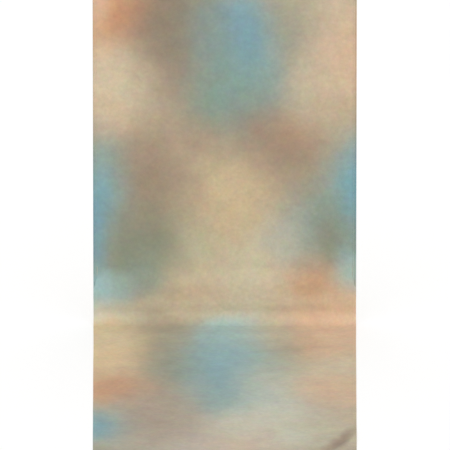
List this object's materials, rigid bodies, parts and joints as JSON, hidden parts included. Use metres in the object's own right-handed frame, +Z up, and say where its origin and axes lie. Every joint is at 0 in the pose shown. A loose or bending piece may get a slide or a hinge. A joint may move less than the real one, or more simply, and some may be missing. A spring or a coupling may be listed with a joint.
{
  "type": "collapsible backdrop panel",
  "caption": "Tall hand-dyed muslin backdrop panel, held taut by a spring-steel hoop in its rim, its front cloth sweeping out into a floor train, with eyeletted hanging tabs.",
  "frame": {"origin": "centre of the middle eyelet, on the top edge, from which the panel hangs; the foot of the panel and the underside of the train are 2.161 m below it", "axes": "+X to the right seen from the front, -Y to the front and along the train, +Z up; the panel stands in the XZ plane"},
  "size_m": [1.524, 2.446, 2.1735],
  "materials": {
    "dyed_muslin": "matt hand-dyed cotton muslin in tan, sage and dusty blue",
    "lining_muslin": "matt plain oatmeal cotton",
    "casing_muslin": "matt self-fabric binding",
    "stitch_thread": "matt polyester thread",
    "spring_steel": "blued spring-steel strip",
    "webbing": "black woven webbing",
    "eyelet_metal": "nickel-plated, satin"
  },
  "bodies": {
    "panel_lower": {"front_muslin_lower": "dyed_muslin", "back_lining_lower": "lining_muslin", "rim_casing_lower": "casing_muslin", "spring_band_lower": "spring_steel", "band_splice_sleeve": "spring_steel", "splice_rivets": "spring_steel", "rim_stitching_lower": "stitch_thread"},
    "panel_upper": {"front_muslin_upper": "dyed_muslin", "back_lining_upper": "lining_muslin", "rim_casing_upper": "casing_muslin", "spring_band_upper": "spring_steel", "rim_stitching_upper": "stitch_thread", "tab_anchor_left": "webbing", "tab_anchor_centre": "webbing", "tab_anchor_right": "webbing", "tab_anchor_stitching": "stitch_thread"},
    "tab_left": {"hang_tab_left": "webbing", "eyelet_left": "eyelet_metal", "eyelet_washer_left": "eyelet_metal"},
    "tab_centre": {"hang_tab_centre": "webbing", "eyelet_centre": "eyelet_metal", "eyelet_washer_centre": "eyelet_metal"},
    "tab_right": {"hang_tab_right": "webbing", "eyelet_right": "eyelet_metal", "eyelet_washer_right": "eyelet_metal"},
    "train_inner": {"train_cloth_inner": "dyed_muslin", "train_hem_stitching_inner": "stitch_thread"},
    "train_middle": {"train_cloth_middle": "dyed_muslin", "train_hem_stitching_middle": "stitch_thread"},
    "train_outer": {"train_cloth_outer": "dyed_muslin", "train_hem_stitching_outer": "stitch_thread"}
  },
  "joints": [
    {"name": "panel_fold", "type": "hinge", "parent": "panel_lower", "child": "panel_upper", "pos_m": [0, -0.095, -1.041], "axis": [1, 0, 0], "range_deg": [0, 178], "stiffness_Nm_per_rad": 8},
    {"name": "train_fold", "type": "hinge", "parent": "panel_lower", "child": "train_inner", "pos_m": [0, -0.08, -2.1522], "axis": [-1, 0, 0], "range_deg": [0, 89]},
    {"name": "train_fold_middle", "type": "hinge", "parent": "train_inner", "child": "train_middle", "pos_m": [0, -0.866, -2.169], "axis": [-1, 0, 0], "range_deg": [-178, 0]},
    {"name": "train_fold_outer", "type": "hinge", "parent": "train_middle", "child": "train_outer", "pos_m": [0, -1.652, -2.1522], "axis": [-1, 0, 0], "range_deg": [0, 178]},
    {"name": "tab_left_flex", "type": "hinge", "parent": "panel_upper", "child": "tab_left", "pos_m": [-0.48, 0, -0.023], "axis": [1, 0, 0], "range_deg": [-75, 75], "stiffness_Nm_per_rad": 0.02},
    {"name": "tab_centre_flex", "type": "hinge", "parent": "panel_upper", "child": "tab_centre", "pos_m": [0, 0, -0.023], "axis": [1, 0, 0], "range_deg": [-75, 75], "stiffness_Nm_per_rad": 0.02},
    {"name": "tab_right_flex", "type": "hinge", "parent": "panel_upper", "child": "tab_right", "pos_m": [0.48, 0, -0.023], "axis": [1, 0, 0], "range_deg": [-75, 75], "stiffness_Nm_per_rad": 0.02}
  ],
  "couplings": [
    {"joint": "train_fold_middle", "follows": "train_fold", "ratio": -2},
    {"joint": "train_fold_outer", "follows": "train_fold", "ratio": 2}
  ]
}
